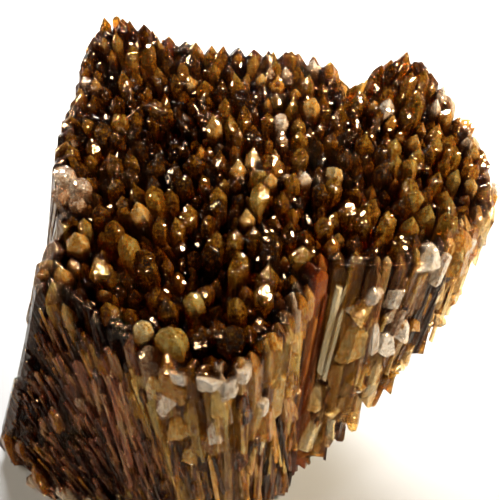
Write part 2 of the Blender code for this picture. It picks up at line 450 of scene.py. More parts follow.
def grow(tint, shape, foot, tip, foot_radius, tip_radius, rng, tone):
    """One crystal: its points in millimetres, its faces, and a round-ended bar that it lies in."""
    points, faces = rng.choice(SHAPES[shape])
    axis = (tip - foot).normalized()
    side = Matrix.Rotation(rng.uniform(0, 2 * math.pi), 3, axis) @ axis.orthogonal().normalized()
    other = axis.cross(side)
    length = (tip - foot).length
    below = points[:, 2] < FOOT_BELOW
    from_foot = (points[:, 2] - FOOT_LEVEL) * foot_radius
    from_tip = length + (points[:, 2] - points[:, 2].max()) * tip_radius
    along = np.where(below, from_foot, np.maximum(from_tip, SHORTEST_PRISM * length))
    radius = foot_radius + (tip_radius - foot_radius) * np.clip(along / length, 0.0, 1.0)
    grown[tint].append(
        {
            "points": np.array(foot)
            + along[:, None] * np.array(axis)
            + (points[:, 0] * radius)[:, None] * np.array(side)
            + (points[:, 1] * radius)[:, None] * np.array(other),
            "faces": faces,
            "ends": (np.array(foot), np.array(tip)),
            "radius": BAR_WIDER * max(foot_radius, tip_radius),
            "tone": tone,
        }
    )


# %% [markdown]
# ## Which crystals are pale, honey or dark
# Most of the carpet is deep amber, but about one crystal in eight is honey coloured, and a few are frosted.
# The back left and some smaller patches are nearly black, and other patches are lit through. A random
# choice alone would miss the crystals that catch the eye, so those are listed by their place, and the
# nearest seat takes what the list says.

# %% Where the carpet is dark or lit through, and which crystals stand out
# Patches of the carpet: x, y and radius
DARK_PATCHES = (
    (-8.0, 18.0, 17.0),
    (32.0, 14.0, 9.0),
    (6.0, -30.0, 7.0),
    (16.0, -12.0, 6.0),
)
GLOW_PATCHES = (
    (14.0, 6.0, 8.0),
    (58.0, 16.0, 9.0),
    (62.0, 6.0, 7.0),
    (56.0, 30.0, 7.0),
    (52.0, -4.0, 6.0),
    (24.0, -20.0, 6.0),
    (-20.0, -12.0, 7.0),
    (20.0, 38.0, 10.0),
)
# Crystals that stand out: x, y, tint and tone
NOTED_SEATS = (
    (5.0, 11.4, "honey", 0.25),
    (6.4, 2.1, "frost", 0.15),
    (13.6, 11.9, "honey", 0.8),
    (0.4, -9.4, "honey", 0.65),
    (0.7, -24.8, "amber", 0.9),
    (1.1, -35.4, "amber", 0.85),
    (-7.0, -35.1, "honey", 0.95),
    (12.9, -31.6, "amber", 0.3),
    (16.3, -34.9, "amber", 0.75),
    (23.9, -23.8, "honey", 0.35),
    (25.9, -23.7, "honey", 0.45),
    (50.4, 5.5, "amber", 0.35),
    (20.2, 6.7, "frost", 0.5),
    (23.0, 7.0, "frost", 0.8),
    (26.0, 6.8, "frost", 0.7),
    (30.6, 7.4, "honey", 0.9),
    (-3.9, 2.7, "honey", 0.95),
    (-8.2, 29.5, "honey", 0.9),
    (4.1, 35.9, "frost", 0.6),
    (55.6, 31.5, "frost", 0.9),
    (55.4, 28.2, "frost", 0.7),
    (-22.2, 4.2, "frost", 0.2),
    (-22.2, 0.2, "frost", 0.3),
    (52.4, -9.8, "honey", 0.5),
    (50.3, -10.1, "frost", 0.9),
    (63.0, 14.0, "frost", 0.8),
    (62.0, 20.0, "honey", 0.7),
)

# %% Choosing a tint for each seat
# Each share of crystals, and how much larger it is in a lit patch and smaller in a dark one
HONEY_SHARE = (0.085, 3.5, 0.8)
FROST_SHARE = (0.035, 2.0, 0.6)
# The same for the tone of the amber ones, and how widely it scatters
AMBER_TONE = (0.40, 0.30, 0.24)
TONE_SCATTER = 0.18
TINT_SEED = 17


def in_patches(x, y, patches):
    """How deep a place lies in the nearest of several round patches, from 0 outside to 1 at a middle."""
    return max(math.exp(-((x - px) ** 2 + (y - py) ** 2) / radius**2) for px, py, radius in patches)


def tint_of_seat(x, y, rng):
    """The tint and the tone of a crystal of the carpet."""
    dark, glow = in_patches(x, y, DARK_PATCHES), in_patches(x, y, GLOW_PATCHES)
    middle, brighter, darker = AMBER_TONE
    tone = middle + brighter * glow - darker * dark + rng.gauss(0, TONE_SCATTER)
    draw = rng.random()
    share, more, less = HONEY_SHARE
    if draw < share * (1 + more * glow - less * dark):
        return "honey", rng.uniform(0.2, 0.8)
    share, more, less = FROST_SHARE
    if draw > 1 - share * (1 + more * glow - less * dark):
        return "frost", rng.uniform(0.2, 1.0)
    return "amber", min(max(tone, 0.0), 1.0)


tint_rng = random.Random(TINT_SEED)
seat_tints = [tint_of_seat(x, y, tint_rng) for x, y, _ in seats]
for x, y, tint, tone in NOTED_SEATS:
    nearest = min(range(len(seats)), key=lambda k: math.dist(seats[k][:2], (x, y)))
    seat_tints[nearest] = (tint, tone)
print({tint: sum(t == tint for t, _ in seat_tints) for tint in ("amber", "honey", "frost")})

# %% [markdown]
# ## The crystals of the carpet
# The solid has a tip for each seat, so the same random draws are made here and the tips land in the same
# places. Only what the solid leaves plain is new: each crystal leans a little its own way, and its prism
# goes down into the mass, so that it stands free of its neighbours down to the dark gaps between them.
# Smaller crystals fill the gaps.

# %% Tips where the solid has them
SHOULDERED_FROM = 0.84
SHOULDER_RISE = (0.5, 1.3)
TIP_RISE = (0.8, 1.4)
STUB_RISE = (0.4, 1.4)
TIP_SHIFT = 0.2
GROWTH_SEED = 13
SHAPE_SEED = 21
ROOT_BELOW = 4.5
ROOT_RADII = 2.5
TIP_LEAN = 0.06
SLIMMER = (0.84, 1.02)
FOOT_WIDTH = 0.92


def root_of(tip, lean, radius):
    """Where a crystal starts, some way down in the mass."""
    return tip - lean.normalized() * (radius * ROOT_RADII + ROOT_BELOW)


growth_rng = random.Random(GROWTH_SEED)
shape_rng = random.Random(SHAPE_SEED)
for (x, y, radius), (tint, tone) in zip(seats, seat_tints):
    seat = Vector((x, y, carpet_height(x, y)))
    axis = growth_direction(seat)
    shoulder = seat + axis * radius * growth_rng.uniform(*SHOULDER_RISE)
    tip = seat + axis * radius * growth_rng.uniform(*STUB_RISE)
    if radius > SHOULDERED_FROM * crystal_radius(y):
        tip = shoulder + axis * radius * growth_rng.uniform(*TIP_RISE)
        across, deep = (growth_rng.uniform(-TIP_SHIFT, TIP_SHIFT) for _ in range(2))
        tip += Vector((across, deep, 0.0)) * radius
    lean = axis + Vector((shape_rng.gauss(0, TIP_LEAN), shape_rng.gauss(0, TIP_LEAN), 0.0))
    foot = root_of(tip, lean, radius)
    width = radius * shape_rng.uniform(*SLIMMER)
    grow(tint, "point", foot, tip, FOOT_WIDTH * width, width, shape_rng, tone)
print("tips from", round(min(c["ends"][1][2] for c in grown["amber"]), 1), "mm up")

# %% Small crystals in the gaps
SMALL_TRIES = 2600
SMALL_WIDTH = 0.42
SMALL_PACKING = 0.70
SMALL_SINK = 0.6
SMALL_RISE = (-1.0, 1.6)
SMALL_LEAN = 0.14
SMALL_TIP_WIDTH = 1.1
SMALL_SEED = 31


def small_radius(y):
    """Typical radius of the small crystals at a depth of the carpet."""
    return SMALL_WIDTH * crystal_radius(y)


small_rng = random.Random(SMALL_SEED)
small_seats = pack_seats(groove_rim, small_rng, SMALL_TRIES, small_radius, SMALL_PACKING, seats)
for x, y, radius in small_seats:
    seat = Vector((x, y, carpet_height(x, y) - SMALL_SINK * radius))
    axis = growth_direction(seat)
    tip = seat + axis * radius * small_rng.uniform(*SMALL_RISE)
    lean = axis + Vector((small_rng.gauss(0, SMALL_LEAN), small_rng.gauss(0, SMALL_LEAN), 0.0))
    foot = root_of(tip, lean, radius)
    tint, tone = tint_of_seat(x, y, small_rng)
    grow(tint, "point", foot, tip, radius, radius * SMALL_TIP_WIDTH, small_rng, tone)
print(len(small_seats), "small crystals between them")

# %% [markdown]
# ## What grows on which stretch of the wall
# Looked at from the front, the prow has broad golden columns above and dark thin ones below, the left has
# brown blades like a stack of needles, one smooth red column stands in the step, and the right is a jumble
# of cream, gold and smoky stumps. One texture could not say that, because the shapes differ too. So a table
# names the mix of tints for each stretch and height, and every column of the wall draws its tint from it.

# %% The mix of tints by stretch and height
# The mix of a stretch, down to which share of the wall. A tint named twice is drawn twice as often
PROW = (
    (0.30, "golden golden golden honey frost dark"),
    (0.55, "golden dark golden dark dark honey"),
    (1.1, "dark dark dark dark golden cream"),
)
STEP = ((1.1, "red"),)
RIGHT = ((0.45, "golden dark cream golden dark frost"), (1.1, "golden dark cream cream golden"))
RIM = ((0.5, "cream golden cream golden honey frost"), (1.1, "cream golden cream"))
BACK = ((0.3, "dark golden honey dark"), (1.1, "dark dark golden dark fibre"))
LEFT = ((0.4, "golden dark fibre honey"), (1.1, "dark golden fibre"))
BLADES_FROM = 0.16
BLADES = (
    (BLADES_FROM, "golden fibre dark"),
    (0.75, "fibre fibre fibre dark"),
    (1.1, "fibre fibre dark golden"),
)
# The stations between which the blades stand, then up to which station each stretch reaches
BLADE_STATIONS = (28.6, 33.6)
STRETCHES = (
    (4.5, PROW),
    (5.5, STEP),
    (8.6, RIGHT),
    (14.0, RIM),
    (24.0, BACK),
    (BLADE_STATIONS[0], LEFT),
    (BLADE_STATIONS[1], BLADES),
    (STATION_COUNT + 0.1, PROW),
)


def tint_at(at, down, rng):
    """A tint for a column at a place along the stations and a share of the way down."""
    mixes = next(mixes for end, mixes in STRETCHES if at % STATION_COUNT < end)
    mix = next(mix for reach, mix in mixes if down < reach)
    return rng.choice(mix.split())


def on_wall(at, down, proud):
    """A point in front of the wall. proud is how far it stands out, in millimetres."""
    rim, foot, out = wall_line(at)
    foot.z = max(foot.z, LOWEST_FOOT)
    return rim.lerp(foot, down) + out * proud


for name, at, down in (("prow", 1.0, 0.3), ("blades", 31.0, 0.5), ("right", 7.0, 0.5)):
    draw_rng = random.Random(1)
    print(name, [tint_at(at, down, draw_rng) for _ in range(5)])

# %% [markdown]
# ## Columns that have snapped
# On the real wall hardly any column runs unbroken from foot to rim: most have snapped once or twice, and
# the stump stands a little in front of or behind the rest. One long prism for each would look like planks.
# So each column of the solid is built from one to four lengths, each with its own break, its own stand-out
# and its own tint.

# %% The broad columns
RIM_RISE = 2.2
SET_IN = 0.75
SNAP_AT = (0.12, 0.92)
SNAP_SHIFT = (-0.9, 0.6)
OVERLAP = 0.02
COLUMN_WIDTH = 1.12
# Columns behind the blades stand further in, and a darker tone is painted on them as the shade between the
# blades
BEHIND_BLADES = -1.2
PAINTED_SHADE_BEHIND_BLADES = 0.3
COLUMN_SEED = 41

column_rng = random.Random(COLUMN_SEED)
for column in range(WALL_COLUMNS):
    k = 2 * column
    rim, foot, out = wall[k]
    before, after = wall[k - 1], wall[(k + 1) % len(wall)]
    rim_width = 0.5 * (before[0] - after[0]).length
    foot_width = 0.5 * (before[1] - after[1]).length
    smooth = tint_at(places[k], 0.5, column_rng) == "red"
    snap_count = 0 if smooth else column_rng.choice((1, 2, 3))
    snaps = sorted(column_rng.uniform(*SNAP_AT) for _ in range(snap_count))
    for high, low in zip([0.0] + snaps, snaps + [1.0]):
        tint = tint_at(places[k] + column_rng.uniform(-0.3, 0.3), 0.5 * (high + low), column_rng)
        top_radius = rim_width + (foot_width - rim_width) * high
        low_radius = rim_width + (foot_width - rim_width) * low
        proud = column_rng.uniform(*SNAP_SHIFT) if high else 0.0
        tone = column_rng.uniform(0.1, 0.9)
        if BLADE_STATIONS[0] < places[k] < BLADE_STATIONS[1] and low > BLADES_FROM:
            proud += BEHIND_BLADES
            # A darker tone painted behind the blades, as the shade in the gaps between them
            tone *= PAINTED_SHADE_BEHIND_BLADES
        tip = rim.lerp(foot, high) + out * (proud - SET_IN * top_radius)
        bottom = rim.lerp(foot, min(low + OVERLAP, 1.0)) + out * (proud - SET_IN * low_radius)
        if not high:
            tip.z += RIM_RISE
        shape = "stump" if high else "point"
        low_radius *= COLUMN_WIDTH
        top_radius *= COLUMN_WIDTH
        grow(tint, shape, bottom, tip, low_radius, top_radius, column_rng, tone)
print({tint: len(crystals) for tint, crystals in grown.items()}, "so far")

# %% [markdown]
# ## The jumble on the wall
# Between and in front of the broad columns there are many thinner ones, broken short, and lumps of rubble
# along the foot. They could be scattered as instances, but instances are lost when the model leaves
# Blender. Each row of this table is one kind of them: where it grows, how many, how wide and how long.
# Every one is placed as a real solid.

# %% Thin columns, stubs and rubble
# Name, count, stations from and to, share down from and to, radius, length, how proud, lean, shapes
JUMBLE = (
    ("front blades", 460, (28.4, 33.9), (0.05, 0.8), (0.25, 0.6), (10, 34), (0.0, 2.0), 0.06, "stump point"),
    ("low blades", 220, (28.6, 34.2), (0.45, 0.95), (0.22, 0.5), (6, 18), (0.0, 1.8), 0.10, "stump point"),
    ("prow stubs", 46, (33.8, 41.3), (0.02, 0.45), (0.9, 2.0), (5, 14), (0.0, 1.6), 0.07, "point stump lump"),
    ("prow needles", 300, (33.6, 41.4), (0.3, 0.97), (0.22, 0.6), (5, 20), (-0.2, 1.5), 0.08, "stump point"),
    ("right stubs", 150, (5.6, 12.6), (0, 0.95), (0.6, 1.7), (3, 10), (-0.3, 1.4), 0.16, "point stump lump"),
    ("right needles", 110, (5.6, 13.5), (0.05, 0.98), (0.25, 0.6), (4, 12), (0.0, 1.3), 0.10, "stump point"),
    ("left and back", 170, (13.0, 28.6), (0.02, 0.97), (0.4, 1.3), (4, 20), (-0.4, 1.0), 0.08, "stump point"),
    ("rubble", 190, (0.0, 37.0), (0.88, 1.0), (0.4, 1.2), (1, 4), (-0.8, 0.6), 0.5, "lump stump point"),
    ("right rubble", 110, (5.0, 13.5), (0.84, 1.0), (0.5, 1.4), (1, 5), (-0.8, 0.5), 0.5, "lump point"),
)
JUMBLE_SEED = 51
# How far each kind is set in and kept off the ground, in radii, and how its foot's width varies
JUMBLE_SET_IN = 0.8
OFF_GROUND = 0.5
JUMBLE_FOOT = (0.8, 1.1)

jumble_rng = random.Random(JUMBLE_SEED)
for name, count, along, down_reach, radii, lengths, prouds, lean, shapes in JUMBLE:
    for _ in range(count):
        at, down = jumble_rng.uniform(*along), jumble_rng.uniform(*down_reach)
        radius = jumble_rng.uniform(*radii)
        tip = on_wall(at, down, jumble_rng.uniform(*prouds) - JUMBLE_SET_IN * radius)
        axis = growth_direction(tip) + Vector([jumble_rng.gauss(0, lean) for _ in range(3)])
        foot = tip - axis.normalized() * jumble_rng.uniform(*lengths)
        foot.z = max(foot.z, LOWEST_FOOT + OFF_GROUND * radius)
        tint, shape = tint_at(at, down, jumble_rng), jumble_rng.choice(shapes.split())
        foot_radius, tone = radius * jumble_rng.uniform(*JUMBLE_FOOT), jumble_rng.uniform(0.0, 1.0)
        grow(tint, shape, foot, tip, foot_radius, radius, jumble_rng, tone)
    print(count, name)

# %% [markdown]
# ## Pieces of the wall that catch the eye
# Some stumps are easy to recognise: white broken tops on the prow, glassy lumps beside them, a gold oval
# and white lumps on the right, a cream edge beside the red column. Random draws never put them where they
# are, so these few are listed one by one, each with its place on the wall, its tint, its size and its
# shape.

# %% Listed stumps
# Station, share down, proud, tint, shape, radius, length, tone
LISTED = (
    (0.2, 0.02, 0.9, "frost", "stump", 2.3, 2.6, 0.95),
    (0.8, 0.05, 1.2, "frost", "stump", 1.9, 3.0, 0.80),
    (1.3, 0.01, 0.8, "frost", "stump", 1.7, 2.0, 0.90),
    (35.9, 0.04, 1.0, "frost", "stump", 1.9, 2.4, 0.90),
    (35.3, 0.16, 1.2, "frost", "lump", 1.7, 3.5, 0.70),
    (35.5, 0.30, 1.4, "honey", "lump", 2.2, 4.5, 0.70),
    (35.8, 0.45, 1.2, "honey", "lump", 1.9, 4.0, 0.60),
    (34.9, 0.10, 0.8, "honey", "lump", 1.6, 3.5, 0.90),
    (2.0, 0.24, 0.9, "frost", "stump", 1.4, 4.0, 0.80),
    (2.2, 0.45, 0.8, "cream", "stump", 1.2, 6.0, 0.90),
    (36.4, 0.12, 1.0, "golden", "point", 1.7, 18.0, 0.50),
    (0.5, 0.16, 1.3, "golden", "stump", 2.0, 16.0, 0.65),
    (1.2, 0.22, 1.2, "golden", "stump", 1.7, 14.0, 0.45),
    (2.6, 0.00, 0.6, "honey", "point", 2.4, 13.0, 0.60),
    (3.2, 0.02, 0.6, "golden", "point", 2.0, 14.0, 0.70),
    (4.0, 0.00, 0.8, "honey", "point", 2.0, 10.0, 0.30),
    (4.4, 0.02, 1.2, "honey", "point", 1.7, 9.0, 0.35),
    (4.4, 0.50, 0.8, "honey", "stump", 1.1, 15.0, 0.20),
    (4.2, 0.72, 0.8, "honey", "point", 1.0, 10.0, 0.25),
    (5.0, 0.03, 1.6, "red", "point", 1.9, 46.0, 0.60),
    (5.3, 0.10, 1.5, "red", "point", 1.5, 40.0, 0.35),
    (4.8, 0.20, 1.4, "red", "stump", 1.3, 36.0, 0.80),
    (5.9, 0.10, 1.7, "cream", "stump", 0.8, 24.0, 0.90),
    (6.1, 0.22, 1.6, "cream", "point", 0.6, 20.0, 1.00),
    (6.7, 0.36, 1.3, "honey", "lump", 2.1, 8.0, 0.75),
    (6.9, 0.60, 1.0, "golden", "lump", 1.7, 6.0, 0.60),
    (7.4, 0.50, 1.6, "frost", "lump", 2.1, 3.2, 0.95),
    (7.8, 0.50, 1.4, "frost", "lump", 1.6, 3.0, 0.90),
    (7.4, 0.18, 1.5, "frost", "stump", 1.9, 4.0, 0.60),
    (7.6, 0.36, 1.5, "frost", "stump", 1.3, 5.0, 0.10),
    (6.9, 0.10, 1.2, "frost", "point", 1.6, 4.5, 0.75),
    (8.0, 0.00, 1.0, "frost", "lump", 2.4, 4.0, 0.90),
    (8.3, 0.10, 1.4, "frost", "stump", 2.2, 5.0, 0.85),
    (8.7, 0.05, 1.2, "honey", "lump", 2.8, 9.0, 0.55),
    (9.2, 0.20, 1.0, "frost", "stump", 1.8, 4.0, 0.90),
    (9.9, 0.10, 0.8, "cream", "stump", 2.4, 9.0, 0.80),
    (10.6, 0.05, 0.8, "frost", "stump", 2.2, 7.0, 0.80),
    (11.6, 0.04, 0.6, "honey", "stump", 2.2, 12.0, 0.50),
    (12.6, 0.02, 0.6, "honey", "stump", 2.4, 14.0, 0.45),
    (13.3, 0.02, 0.8, "frost", "lump", 2.0, 4.0, 0.90),
    (30.2, 0.02, 1.4, "honey", "point", 1.3, 10.0, 0.75),
    (28.9, 0.00, 1.0, "golden", "point", 2.4, 12.0, 0.60),
    (30.7, 0.42, 1.2, "frost", "point", 1.2, 4.0, 0.10),
    (29.9, 0.55, 1.0, "honey", "lump", 1.5, 4.0, 0.20),
    (32.4, 0.15, 1.2, "honey", "lump", 1.6, 4.0, 0.10),
    (33.4, 0.25, 1.0, "golden", "lump", 1.6, 5.0, 0.30),
    (29.1, 0.86, 0.6, "honey", "lump", 2.4, 5.0, 0.05),
    (28.6, 0.90, 0.6, "honey", "lump", 2.6, 4.0, 0.10),
    (29.6, 0.92, 0.8, "honey", "lump", 2.2, 4.0, 0.15),
    (30.2, 0.93, 0.8, "frost", "lump", 1.5, 2.5, 0.95),
    (30.7, 0.95, 0.8, "frost", "lump", 1.3, 2.2, 0.90),
    (29.5, 0.99, 0.6, "frost", "lump", 1.6, 2.4, 0.95),
)
LISTED_SEED = 61
LISTED_SET_IN = 0.7
LISTED_OFF_GROUND = 0.6

listed_rng = random.Random(LISTED_SEED)
for at, down, proud, tint, shape, radius, length, tone in LISTED:
    tip = on_wall(at, down, proud - LISTED_SET_IN * radius)
    foot = tip - growth_direction(tip) * length
    foot.z = max(foot.z, LOWEST_FOOT + LISTED_OFF_GROUND * radius)
    grow(tint, shape, foot, tip + growth_direction(tip) * radius, radius, radius, listed_rng, tone)
print(len(LISTED), "listed stumps")

# %% The pale block at the left of the carpet
# x, y, height over the carpet, radius and tone of each crystal of the block
PALE_BLOCK = (
    (-22.5, 4.5, 6.5, 2.0, 0.30),
    (-19.6, 3.2, 5.2, 1.6, 0.20),
    (-23.6, 1.4, 4.6, 1.9, 0.10),
    (-20.8, -0.2, 3.2, 1.5, 0.15),
    (-24.4, 6.6, 4.4, 1.3, 0.55),
)
BLOCK_LEAN = Vector((-0.12, -0.05, 0.0))
BLOCK_ROOT = 5.0
BLOCK_SEED = 71

block_rng = random.Random(BLOCK_SEED)
for x, y, rise, radius, tone in PALE_BLOCK:
    seat = Vector((x, y, carpet_height(x, y)))
    axis = (growth_direction(seat) + BLOCK_LEAN).normalized()
    grow("frost", "stump", seat - axis * BLOCK_ROOT, seat + axis * rise, radius, radius, block_rng, tone)
print(len(PALE_BLOCK), "crystals make the pale block")

# %% [markdown]
# ## The body behind the crystals
# Behind the columns and below the tips there is solid calcite down to the rough break that the specimen
# rests on. It is one closed mesh: a triangulated top below the crystals, walls set in behind the columns,
# and an underside with the same small flat spot as the solid, which is what touches the ground.

# %% The body
BODY_INSET = 1.7
BODY_RIM_DROP = 3.2
BODY_BELOW_TIPS = 2.0
REST_SHARE = 0.80
REST_REACH = 21.0
UNDERSIDE_BUMP = 1.6
UNDERSIDE_LOWEST = 0.4
BODY_TONE = 0.2


def store(mesh, name, domain, values):
    """Stores a number for each face or each point of a mesh, for the finish to read."""
    mesh.attributes.new(name, "FLOAT", domain).data.foreach_set("value", values)


def body_top(rims):
    """The triangulated top of the body: its points, its faces, and which points lie on the rim, in turn."""
    count = len(rims)
    outline = [p.xy[:] for p in rims]
    flat = [p.xy for p in rims] + [Vector(s[:2]) for s in seats if inside(s[0], s[1], outline)]
    coords, _, triangles, originals, _, _ = delaunay_2d_cdt(flat, [], [list(range(count))], 1, 1e-6)
    points = []
    for place, sources in zip(coords, originals):
        if sources and sources[0] < count:
            points.append(rims[sources[0]])
            continue
        depth = BODY_BELOW_TIPS * crystal_radius(place.y)
        points.append(Vector((*place, carpet_height(*place) - depth)))
    on_rim = [next(n for n, sources in enumerate(originals) if k in sources) for k in range(count)]
    return points, [tuple(t) for t in triangles], on_rim


def underside_rings(feet):
    """A rough ring half way in from the feet, and the ring of the small flat spot that the body rests on."""
    rng = random.Random(WALL_SEED + 1)
    middle, rest = [], []
    for foot in feet:
        level = Vector((foot.x, foot.y, 0.0))
        rest.append(level * min(REST_SHARE, REST_REACH / level.length))
        halfway = foot.lerp(rest[-1], 0.5)
        halfway.z = max(halfway.z + rng.uniform(-1, 1) * UNDERSIDE_BUMP, UNDERSIDE_LOWEST)
        middle.append(halfway)
    return middle, rest


def body_mesh():
    """The closed mesh of the body, in metres: its top, then ring below ring, then the flat spot."""
    rims = [rim - out * BODY_INSET - Vector((0, 0, BODY_RIM_DROP)) for rim, foot, out in wall]
    feet = [foot - out * BODY_INSET for rim, foot, out in wall]
    points, faces, upper = body_top(rims)
    count = len(rims)
    for ring in (feet, *underside_rings(feet)):
        lower = list(range(len(points), len(points) + count))
        points.extend(ring)
        for k in range(count):
            after = (k + 1) % count
            faces.append((lower[k], lower[after], upper[after], upper[k]))
        upper = lower
    faces.append(tuple(reversed(upper)))
    mesh = bpy.data.meshes.new("body")
    mesh.from_pydata([p * MM for p in points], [], faces)
    shell = bmesh.new()
    shell.from_mesh(mesh)
    bmesh.ops.triangulate(shell, faces=shell.faces)
    open_edges = sum(len(e.link_faces) != 2 for e in shell.edges)
    volume = round(shell.calc_volume() / MM**3 / 1000)
    print("the body:", len(shell.faces), "triangles,", volume, "cubic centimetres,", open_edges, "open edges")
    shell.to_mesh(mesh)
    shell.free()
    return mesh


body = bpy.data.objects.new("calcite_carpet", body_mesh())
bpy.context.scene.collection.objects.link(body)
store(body.data, "tone", "FACE", [BODY_TONE] * len(body.data.polygons))

# %% [markdown]
# ## Growing together
# Where two crystals meet they are one piece of calcite, with no skin between them, and glass that is
# rendered with skins inside looks like a bag of beads. A voxel remesh would fuse them but would also round
# every edge. A Boolean union keeps the flat faces. It is quick when many crystals join at once, and those
# of one union must not touch each other, so the crystals are first sorted into groups within which none
# touches another. Each tint becomes one mesh, because two finishes on one mesh would break its absorption.

# %% Sorting into groups


def touching(crystal, feet, ways, radii):
    """Which of many crystals one crystal may touch, by the round-ended bars that they lie in."""
    foot, tip = crystal["ends"]
    way = tip - foot
    gap = foot - feet
    own = way @ way
    theirs = (ways * ways).sum(1)
    both = ways @ way
    along = gap @ way
    across = (ways * gap).sum(1)
    spread = np.maximum(own * theirs - both * both, 1e-9)
    on_own = np.clip((both * across - along * theirs) / spread, 0, 1)
    on_theirs = np.clip((both * on_own + across) / theirs, 0, 1)
    on_own = np.clip((both * on_theirs - along) / own, 0, 1)
    near = gap + on_own[:, None] * way - on_theirs[:, None] * ways
    return (near * near).sum(1) < (radii + crystal["radius"]) ** 2


def grouped(crystals):
    """Crystals in groups within which none touches another."""
    feet = np.array([c["ends"][0] for c in crystals])
    ways = np.array([c["ends"][1] - c["ends"][0] for c in crystals])
    radii = np.array([c["radius"] for c in crystals])
    groups, group_of = [], np.full(len(crystals), -1)
    for number, crystal in enumerate(crystals):
        near = touching(crystal, feet[:number], ways[:number], radii[:number])
        used = set(group_of[:number][near])
        choice = next(g for g in range(len(crystals)) if g not in used)
        if choice == len(groups):
            groups.append([])
        groups[choice].append(crystal)
        group_of[number] = choice
    return groups


# %% Joining the groups


def mesh_object(name, crystals):
    """One mesh object from several crystals, side by side. Each face keeps the tone of its crystal."""
    points, faces, tones, start = [], [], [], 0
    for crystal in crystals:
        points.append(crystal["points"])
        faces.append(crystal["faces"] + start)
        tones += [crystal["tone"]] * len(crystal["faces"])
        start += len(crystal["points"])
    mesh = bpy.data.meshes.new(name)
    mesh.from_pydata((np.concatenate(points) * MM).tolist(), [], np.concatenate(faces).tolist())
    store(mesh, "tone", "FACE", tones)
    thing = bpy.data.objects.new(name, mesh)
    bpy.context.scene.collection.objects.link(thing)
    return thing


def joined(name, crystals, start=None):
    """All the crystals grown into one closed body, on the body to start from if there is one."""
    groups = grouped(crystals)
    whole = start or mesh_object(name, groups.pop(0))
    for group in groups:
        more = mesh_object(f"{name}_more", group)
        union = whole.modifiers.new("union", "BOOLEAN")
        union.operation = "UNION"
        union.solver = "MANIFOLD"
        union.object = more
        united = whole.evaluated_get(bpy.context.evaluated_depsgraph_get())
        united_mesh = bpy.data.meshes.new_from_object(united)
        whole.modifiers.clear()
        whole.data = united_mesh
        bpy.data.objects.remove(more)
    triangles = sum(len(face.vertices) - 2 for face in whole.data.polygons)
    print(name, "is", len(crystals), "crystals in", len(groups), "unions,", triangles, "triangles")
    return whole


PIECE_NAMES = {
    "amber": "calcite_carpet",
    "honey": "calcite_honey_crystals",
    "frost": "calcite_frosted_crystals",
    "dark": "calcite_smoky_columns",
    "golden": "calcite_golden_columns",
    "cream": "calcite_cream_columns",
    "red": "calcite_red_column",
    "fibre": "calcite_brown_blades",
}
pieces = {}
for tint, name in PIECE_NAMES.items():
    pieces[tint] = joined(name, grown[tint], body if tint == "amber" else None)
for piece in pieces.values():
    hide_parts("calcite_cluster")
    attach(piece, "root")

# %% [markdown]
# ## How far each point stands out
# On the real specimen the tips are clear and bright and the gaps between crystals are nearly black, because
# light is used up on its way in. Rendering that by depth of glass alone takes very dark glass, and then the
# tips go black too. So each point of a mesh stores how far it stands out of the carpet or of the wall, and
# the finish paints shade into the colour of what lies deep: the gaps and grooves get a painted shade. It is
# measured from the object's own surfaces, so it holds from every side.

# %% Storing the stand-out
WALL_STEP = 0.25
# What is this far below the carpet is the bare foot, and this is what it counts as for the painted shade
BARE_BELOW = -24.0
BARE_RISE = -1.0
# How much less a tip above the rim counts than over the carpet, and the most that it counts
TIP_ALLOWANCE = 1.0
TIP_MOST = 2.0


def wall_surface():
    """The wall without its columns, for measuring distances to it."""
    stops = np.arange(0, STATION_COUNT, WALL_STEP)
    points, faces = [], []
    for at in stops:
        rim, foot, _ = wall_line(at)
        points += [rim + Vector((0, 0, RIM_RISE)), foot]
    count = len(stops)
    for k in range(count):
        after = (k + 1) % count
        faces.append((2 * k + 1, 2 * after + 1, 2 * after, 2 * k))
    return BVHTree.FromPolygons(points, faces)


def store_rise(thing, rise_at):
    """Stores at each point of a mesh how far it stands out, in millimetres."""
    mesh = thing.data
    points = np.zeros(len(mesh.vertices) * 3)
    mesh.vertices.foreach_get("co", points)
    rises = [rise_at(Vector(point)) for point in points.reshape(-1, 3) / MM]
    store(mesh, "rise", "POINT", rises)
    low, high = (round(np.percentile(rises, share), 1) for share in (5, 95))
    print(thing.name, "stands out", low, "to", high, "mm")


surface = wall_surface()


def rise_over_carpet(place):
    """How far a place is over the carpet. The bare foot, far below it, counts as half way up."""
    rise = place.z - carpet_height(place.x, place.y)
    return rise if rise > BARE_BELOW else BARE_RISE


def rise_off_wall(place):
    """How far a place is outside the wall. A place above the rim counts by its height over the carpet."""
    nearest, normal, _, _ = surface.find_nearest(place)
    off = (place - nearest).dot(normal)
    return max(off, min(rise_over_carpet(place) - TIP_ALLOWANCE, TIP_MOST))


for tint, piece in pieces.items():
    store_rise(piece, rise_over_carpet if tint == "amber" else rise_off_wall)

# %% [markdown]
# ## The finish of calcite
# Calcite is a clear, slightly cloudy crystal. Its tint comes in streaks along the growth direction and in
# mottled patches, its faces carry fine growth steps and ribs, and small flat areas lie several degrees off
# the face and glitter. A glossy paint could imitate that, but no light would come through the tips. So the
# finish is plain transmission, an index of refraction and absorption with depth, which stay real glass in
# other programs. Streaks follow coordinates that fan out from the root, the same way as the columns do.
# Real calcite bends light more, by 1.49 to 1.66, and mirrors it without a tint. With those values the faces
# mirror so much of the floor that the dark wall turns grey, so the index is lower here and the mirrored
# light is tinted warm.

# %% Small parts of the finish


